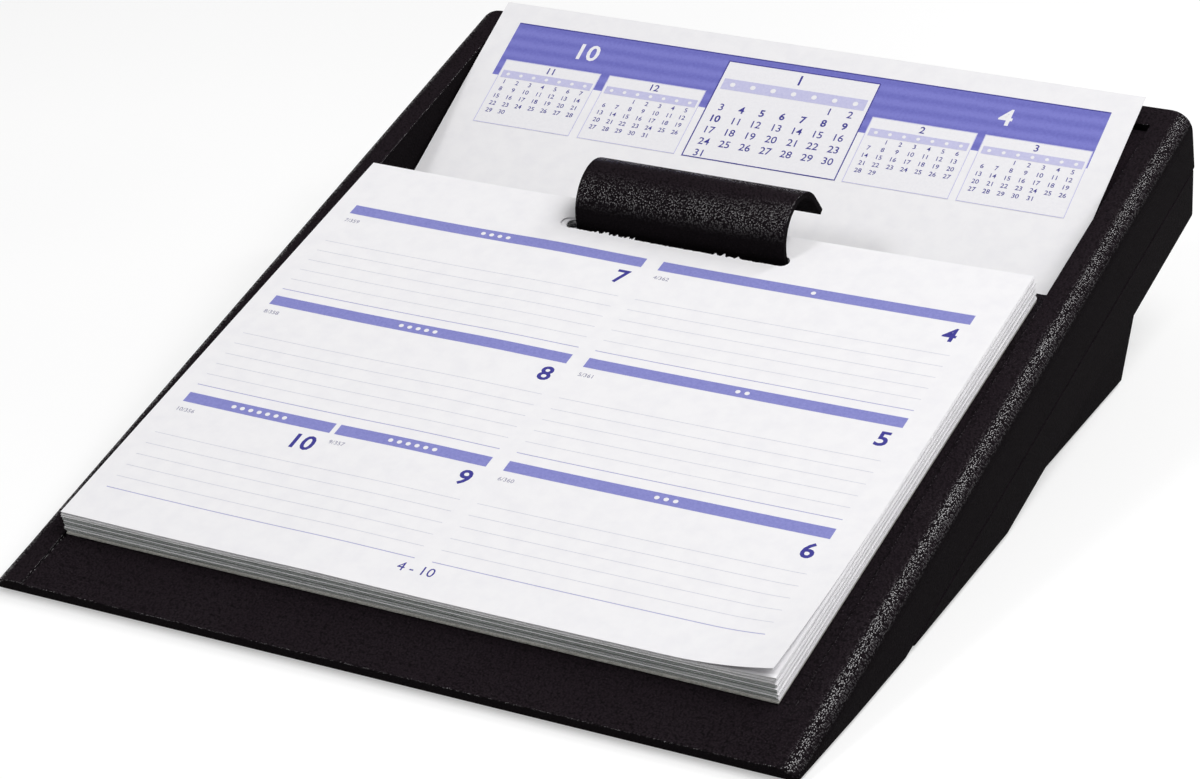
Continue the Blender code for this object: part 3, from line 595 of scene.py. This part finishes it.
# The pad below: every sheet of every block, each a little out of line with the next
pad = {
    "floor": 0.3 * mm, "card": 0.4 * mm, "gap": 0.03 * mm, "sheet": 0.1 * mm, "spare": 0.012 * mm,
    "slotLeft": 60.2 * mm, "slotRight": 120 * mm, "jog": 0.09 * mm,
    "drift": 0.16 * mm, "sideTurn": 2.4, "sideStart": 0.6, "aheadTurn": 1.7,  # turns in radians a month
    "cardShift": (0.1 * mm, -0.25 * mm), "nextShift": (0.15 * mm, 0.1 * mm),
    "bowFade": 1.4, "earShare": 0.25, "earFade": 6,
    "net": {"outline": 9 * mm, "slot": 3 * mm, "grid": 18 * mm},
    "printedNet": {"outline": 3 * mm, "slot": 1.5 * mm, "grid": 3 * mm},  # fine enough to print on
}
months = (
    ("december", 4), ("november", 4), ("october", 5), ("september", 4), ("august", 5), ("july", 4),
    ("june", 4), ("may", 5), ("april", 4), ("march", 4), ("february", 4), ("january", 2),
)


def flex(u, v, level):  # the pad's sheets follow the top one less and less
    share = level / page["top"]
    return bow(u, v) * share ** pad["bowFade"] + pad["earShare"] * dogEar(u, v) * share ** pad["earFade"]


def padLayer(bm, net, low, high, shift, looks=(0, 0, 0)):
    def place(w):
        return lambda u, v: onPage(u + shift[0], v + shift[1], w + flex(u, v, high))

    addLayer(bm, net, place(low), place(high), looks)


def makePad():
    net = pageNet(pad["net"], pad["slotLeft"], pad["slotRight"])
    level = pad["floor"]
    bm = bmesh.new()
    padLayer(bm, net, level, level + pad["card"], pad["cardShift"])
    addPiece("pad_back_board", meshFrom(bm, "pad_back_board"), [board], "base", ["backing_card"])
    level += pad["card"] + pad["gap"]
    for k, (month, count) in enumerate(months):
        bm = bmesh.new()
        side = pad["drift"] * sin(pad["sideTurn"] * k + pad["sideStart"])
        ahead = pad["drift"] * cos(pad["aheadTurn"] * k)
        for sheet in range(count):
            shift = (side + draw.uniform(-1, 1) * pad["jog"], ahead + draw.uniform(-1, 1) * pad["jog"])
            low = level + sheet * pad["sheet"]
            padLayer(bm, net, low, low + pad["sheet"] - pad["spare"], shift, (0, 1, 2))
        level += count * pad["sheet"] + pad["gap"]
        name = month + "_week_pages"
        addPiece(name, meshFrom(bm, name), [paper, edge, slotShade], "base", [month + "_sheets"])
    bm = bmesh.new()
    fineNet = pageNet(pad["printedNet"], pad["slotLeft"], pad["slotRight"])
    padLayer(bm, fineNet, level, level + pad["sheet"], pad["nextShift"])
    mesh = meshFrom(bm, "next_week_page")
    addPiece("next_week_page", mesh, [paper], "base", ["next_week_sheet"])
    return level + pad["sheet"]


makeTopSheet()
nextTop = makePad()
print("pad laid, next page at", round(nextTop / mm, 2), "mm")


# Printing: flat shapes in page coordinates, laid on a page as a film of ink
ink = {
    "under": 0.006 * mm, "over": 0.02 * mm, "apart": 0.004 * mm, "step": 3 * mm, "pipSides": 16,
    "weld": 1e-5,  # of a digit's font size
}
glyphs = {}


# A number's points and faces in font sizes, with its corners
def glyph(text, bold):
    key = (text, bold)
    if key not in glyphs:
        curve = bpy.data.curves.new("number", "FONT")
        curve.body = text
        curve.resolution_u = 3
        curve.offset = bold
        curve.align_x = "LEFT"
        holder = bpy.data.objects.new("number", curve)
        mesh = bpy.data.meshes.new_from_object(holder)
        bm = bmesh.new()
        bm.from_mesh(mesh)
        bmesh.ops.remove_doubles(bm, verts=bm.verts, dist=ink["weld"])
        bm.verts.index_update()
        points = [(v.co.x, v.co.y) for v in bm.verts]
        faces = []
        for face in bm.faces:
            ring = [v.index for v in face.verts]
            faces.append(ring if face.normal.z > 0 else ring[::-1])
        bm.free()
        low = min(p[0] for p in points), min(p[1] for p in points)
        high = max(p[0] for p in points), max(p[1] for p in points)
        glyphs[key] = points, faces, low, high
        bpy.data.objects.remove(holder)
        bpy.data.meshes.remove(mesh)
        bpy.data.curves.remove(curve)
    return glyphs[key]


# What is printed on one face of a page: a mesh for each ink
class Print:
    def __init__(self, surface, upright=1):
        self.surface = surface
        self.upright = upright  # 1 where v runs up the page, -1 where it runs down
        self.inks = {}

    def lay(self, inkName, net, raised=0):
        if inkName not in self.inks:
            self.inks[inkName] = bmesh.new()
        bm = self.inks[inkName]
        rise = raised * (ink["over"] + ink["apart"])  # over that many films of ink
        addLayer(bm, net, lambda u, v: self.surface(u, v, ink["under"] + rise),
                 lambda u, v: self.surface(u, v, ink["over"] + rise))

    def bar(self, inkName, u0, u1, v0, v1, raised=0):
        count = max(1, round((u1 - u0) / ink["step"]))
        rows = max(1, round((v1 - v0) / ink["step"]))
        points = [(u0 + (u1 - u0) * i / count, v0 + (v1 - v0) * j / rows)
                  for j in range(rows + 1) for i in range(count + 1)]
        faces = []
        for j in range(rows):
            for i in range(count):
                a = j * (count + 1) + i
                faces.append((a, a + 1, a + count + 2, a + count + 1))
        self.lay(inkName, (points, faces), raised)

    def box(self, inkName, u0, u1, v0, v1, line, raised=0):
        self.bar(inkName, u0, u1, v0, v0 + line, raised=raised)
        self.bar(inkName, u0, u1, v1 - line, v1, raised=raised)
        self.bar(inkName, u0, u0 + line, v0 + line, v1 - line, raised=raised)
        self.bar(inkName, u1 - line, u1, v0 + line, v1 - line, raised=raised)

    def number(self, inkName, text, u, v, height, align="middle", bold=0.0, raised=0):
        points, faces, low, high = glyph(text, bold)
        scale = height / glyph("0", bold)[3][1]
        wide = (high[0] - low[0]) * scale
        start = {"left": u, "middle": u - wide / 2, "right": u - wide}[align]
        net = [(start + (x - low[0]) * scale, v + self.upright * y * scale) for x, y in points], faces
        self.lay(inkName, net, raised)

    def pips(self, inkName, count, u, v, radius, pitch, raised=0):
        sides = ink["pipSides"]
        turns = [2 * pi * i / sides for i in range(sides)]
        for k in range(count):
            middle = u + (k - (count - 1) / 2) * pitch
            points = [(middle + radius * cos(t), v + radius * sin(t)) for t in turns]
            self.lay(inkName, (points, [tuple(range(sides))]), raised)

    def finish(self, name, body, inks):
        for inkName, bm in self.inks.items():
            mesh = meshFrom(bm, name + "_" + inkName, smooth=False)
            addPiece(name + "_" + inkName, mesh, [inks[inkName]], body)


inks = {
    "bars": barInk, "numbers": deepInk, "rules": ruleInk, "lines": lineInk, "marks": smallInk,
    "whites": whiteInk, "band": bandInk, "tints": tintInk, "frame": deepInk,
}
weekDays = 7
thisWeek = 4  # its first day of the month
nextWeek = thisWeek + weekDays
# The week's blocks in mm from the page's left and front edges: the bars' heights, what hangs below each bar
# by how far down it is, the columns' ends, and the sizes of digits, pips and lines
week = {
    "rows": (123.5, 84.6, 45.4), "pitch": 4.12, "bar": 3.5, "firstLine": 13.7, "lines": 5,
    "left": (5.3, 86.3), "right": (90.7, 170.5), "split": (45.3, 46.6),
    "number": 4.9, "numberIn": 1.2, "numberDown": 8.8, "numberBold": 0.022,
    "mark": 1.25, "markIn": 0.3, "markDown": 5.1, "yearDays": 366, "pip": 0.62, "pipPitch": 2.3,
    "foot": 2.7, "footAt": (88.5, 6.5), "rule": 0.16, "line": 0.22,
}


def weekPrint(surface, name, body, firstDay):
    sheet = Print(surface)
    left, right = week["left"], week["right"]
    places = [(right, 0, 0), (right, 1, 1), (right, 2, 2), (left, 0, 3), (left, 1, 4),
              ((week["split"][1], left[1]), 2, 5), ((left[0], week["split"][0]), 2, 6)]
    for (u0, u1), row, day in places:
        middle = week["rows"][row]
        number = firstDay + day
        sheet.bar("bars", u0 * mm, u1 * mm, (middle - week["bar"] / 2) * mm, (middle + week["bar"] / 2) * mm)
        sheet.pips("whites", day + 1, (u0 + u1) / 2 * mm, middle * mm, week["pip"] * mm,
                   week["pipPitch"] * mm, 1)
        sheet.number("numbers", str(number), (u1 - week["numberIn"]) * mm,
                     (middle - week["numberDown"]) * mm, week["number"] * mm, "right", week["numberBold"])
        count = f"{number}/{week['yearDays'] - number}"
        sheet.number("marks", count, (u0 + week["markIn"]) * mm, (middle - week["markDown"]) * mm,
                     week["mark"] * mm, "left")
    for u0, u1 in (left, right):
        for middle in week["rows"]:
            for k in range(week["lines"] + 1):
                v = middle - week["firstLine"] - k * week["pitch"]
                last = k == week["lines"]
                half = (week["line"] if last else week["rule"]) / 2
                sheet.bar("lines" if last else "rules", u0 * mm, u1 * mm, (v - half) * mm, (v + half) * mm)
    lastDay = firstDay + weekDays - 1
    footU, footV = week["footAt"]
    sheet.number("numbers", f"{firstDay} - {lastDay}", footU * mm, footV * mm, week["foot"] * mm)
    sheet.finish(name, body, inks)


def nextFace(u, v, rise):
    return onPage(u, v, nextTop + flex(u, v, nextTop) + rise)


weekPrint(topFace, "current_week", "current_week", thisWeek)
weekPrint(nextFace, "next_week", "base", nextWeek)
print("week pages printed")


# The used page in its pocket, and the months printed on its back
stored = {
    "straight": 76 * mm, "roll": 0.8 * mm, "rollReach": 1.3,  # the reach is a share of the straight part
    "net": {"outline": 3 * mm, "slot": 2 * mm, "grid": 4 * mm},
}
storeAxis = Vector(joints["pull_out_previous_week"]["pos_m"])
topEdge = max((v.co for v in nodes["previous_week_sheet"].data.vertices), key=lambda c: c.z)
storeRadius = hypot(topEdge.y - storeAxis.y, topEdge.z - storeAxis.z) - page["thickness"]
storeLean = atan2(topEdge.y - storeAxis.y, storeAxis.z - topEdge.z)
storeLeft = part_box("previous_week_sheet")[0].x


# Down the curve from the outer edge, with the upper part straight and its right end a little further out
def onStored(u, d, rise):
    turn = storeLean - d / storeRadius
    straight = stored["straight"]
    sag = d * (straight - d) / (2 * storeRadius) if d < straight else 0
    roll = -stored["roll"] * u / page["width"] * max(0, 1 - d / (stored["rollReach"] * straight))
    radius = storeRadius - sag - roll - rise
    return Vector((storeLeft + u, storeAxis.y + radius * sin(turn), storeAxis.z - radius * cos(turn)))


def makeStored():
    net = pageNet(stored["net"], page["slotLeft"], page["slotRight"])
    bm = bmesh.new()
    addLayer(bm, net, lambda u, v: onStored(u, v, -page["thickness"]), lambda u, v: onStored(u, v, 0))
    mesh = meshFrom(bm, "previous_week_page")
    addPiece("previous_week_page", mesh, [paper], "previous_week", ["previous_week_sheet"])


# Small months in mm down from the page's outer edge: number, first weekday, days, left end, right end
calendars = {
    "band": (6.6, 171.2, 6.4, 24.7), "edge": 0.35, "months": (
        (11, 0, 30, 8.4, 36.4), (12, 2, 31, 38.8, 66.6), (1, 5, 31, 68.6, 110.9),
        (2, 1, 29, 112.7, 140.9), (3, 2, 31, 142.9, 170.9)),
    "big": {"top": 8.4, "title": 5.9, "strip": 3.6, "row": 3.88, "digit": 2.2, "titleDigit": 3.2,
            "line": 0.32, "bottom": 41.0},
    "small": {"top": 19.2, "title": 3.6, "strip": 2.5, "row": 2.5, "digit": 1.35, "titleDigit": 2.1,
              "line": 0.2, "bottom": 40.9},
    "bandDigit": 5.2, "bandDown": 15.4, "bandEnds": (30.0, 146.0),
    "spread": 0.94, "inset": 0.03, "pip": 0.2, "baseline": 0.78,  # shares of box or row
    "bold": {"title": 0.01, "thisWeek": 0.025, "day": 0.006, "band": 0.02},
}


def monthsPrint(surface, name, body, firstDay):
    sheet = Print(surface, -1)
    u0, u1, top, bottom = calendars["band"]
    bold = calendars["bold"]
    sheet.bar("band", u0 * mm, u1 * mm, top * mm, bottom * mm)
    sheet.bar("frame", u0 * mm, u1 * mm, top * mm, (top + calendars["edge"]) * mm, raised=1)
    for month, firstColumn, days, left, right in calendars["months"]:
        thisMonth = month == 1
        size = calendars["big" if thisMonth else "small"]
        upper = size["top"]
        sheet.bar("whites", left * mm, right * mm, upper * mm, size["bottom"] * mm, raised=1)
        sheet.box("frame" if thisMonth else "tints", left * mm, right * mm, upper * mm,
                  size["bottom"] * mm, size["line"] * mm, raised=2)
        middle = (left + right) / 2
        base = upper + size["title"] / 2 + size["titleDigit"] / 2
        sheet.number("numbers", str(month), middle * mm, base * mm, size["titleDigit"] * mm,
                     bold=bold["title"], raised=2)
        inset = (right - left) * calendars["inset"]
        strip = upper + size["title"]
        sheet.bar("tints", (left + inset) * mm, (right - inset) * mm, strip * mm,
                  (strip + size["strip"]) * mm, raised=2)
        pitch = (right - left) * calendars["spread"] / weekDays
        sheet.pips("whites", weekDays, middle * mm, (strip + size["strip"] / 2) * mm,
                   size["strip"] * calendars["pip"] * mm, pitch * mm, raised=3)
        for day in range(1, days + 1):
            row, column = divmod(day - 1 + firstColumn, weekDays)
            u = middle + (column - (weekDays - 1) / 2) * pitch
            v = strip + size["strip"] + size["row"] * (row + calendars["baseline"])
            inWeek = thisMonth and firstDay <= day < firstDay + weekDays
            thick = bold["thisWeek" if inWeek else "day"]
            sheet.number("numbers", str(day), u * mm, v * mm, size["digit"] * mm, bold=thick, raised=2)
    for u, number in zip(calendars["bandEnds"], (firstDay + weekDays - 1, firstDay)):
        sheet.number("whites", str(number), u * mm, calendars["bandDown"] * mm, calendars["bandDigit"] * mm,
                     bold=bold["band"], raised=1)
    sheet.finish(name, body, inks)


makeStored()
monthsPrint(onStored, "previous_week", "previous_week", thisWeek)
monthsPrint(underFace, "week_after", "current_week", nextWeek)  # comes to light when the page is turned over
print("used page stored, months printed")


# Floor and studio light
studio = {
    "tones": [(0.3, "#cecece"), (0.7, "#d2d2d2")], "mottle": 333.3, "floorSize": 6.0, "glow": 0.65,
    "world": 0.2, "aim": 120 * mm,
}


# Table in matt pale paint. It glows to the eye and in reflections only, so it looks white with a shadow
def makeFloor():
    material, tree = newMaterial("painted_table")
    place = addNode(tree, "TexCoord").outputs["Object"]
    tone = addNode(tree, "TexNoise", {"Scale": perMetre(studio["mottle"]), "Detail": 2.0}, Vector=place)
    colour = addNode(tree, "ValToRGB", {"stops": studio["tones"]}, Fac=tone.outputs["Fac"])
    path = addNode(tree, "LightPath").outputs
    mirrored = addNode(tree, "Math", {"operation": "MAXIMUM"}, i0=path["Is Glossy Ray"],
                       i1=path["Is Transmission Ray"])
    seen = addNode(tree, "Math", {"operation": "MAXIMUM"}, i0=path["Is Camera Ray"], i1=mirrored.outputs[0])
    glow = addNode(tree, "Math", {"operation": "MULTIPLY", 1: studio["glow"]}, i0=seen.outputs[0])
    shader = addNode(tree, "BsdfPrincipled", {"Roughness": 0.9, "Specular IOR Level": 0.1},
                     Base_Color=colour.outputs["Color"], Emission_Color=colour.outputs["Color"],
                     Emission_Strength=glow.outputs[0])
    addNode(tree, "OutputMaterial", Surface=shader.outputs["BSDF"])
    bm = bmesh.new()
    bmesh.ops.create_grid(bm, x_segments=2, y_segments=2, size=studio["floorSize"])
    mesh = bpy.data.meshes.new("floor")
    bm.to_mesh(mesh)
    bm.free()
    mesh.materials.append(material)
    floor = bpy.data.objects.new("floor", mesh)
    bpy.context.scene.collection.objects.link(floor)


# Each lamp: direction from the object on the slope's axes, distance, size, watts
lamps = {
    "top_softbox": {"towards": (0.50, 0.15, 0.85), "away": 1.4, "size": (0.9, 0.9), "watts": 12.4},
    "back_lamp": {"towards": (0.38, 0.71, 0.59), "away": 1.3, "size": (0.13, 0.6), "watts": 4.6},
    "front_lamp": {"towards": (-0.43, -0.45, 0.78), "away": 1.3, "size": (0.24, 0.28), "watts": 3.2},
}


def makeLamps():
    middle = onSlope(0, studio["aim"], 0)
    for name, lamp in lamps.items():
        data = bpy.data.lights.new(name, "AREA")
        data.shape = "RECTANGLE"
        data.size, data.size_y = lamp["size"]
        data.energy = lamp["watts"]
        light = bpy.data.objects.new(name, data)
        bpy.context.scene.collection.objects.link(light)
        out = (slopeTurn.to_3x3() @ Vector(lamp["towards"])).normalized()
        light.location = middle + out * lamp["away"]
        light.rotation_euler = (-out).to_track_quat("-Z", "Y").to_euler()


def makeWorld():
    world = bpy.data.worlds.new("studio")
    bpy.context.scene.world = world
    world.use_nodes = True
    back = world.node_tree.nodes["Background"]
    back.inputs["Color"].default_value = linear("#ffffff")
    back.inputs["Strength"].default_value = studio["world"]


makeFloor()
makeLamps()
makeWorld()
bpy.context.scene.view_settings.view_transform = "Standard"
print("studio set")
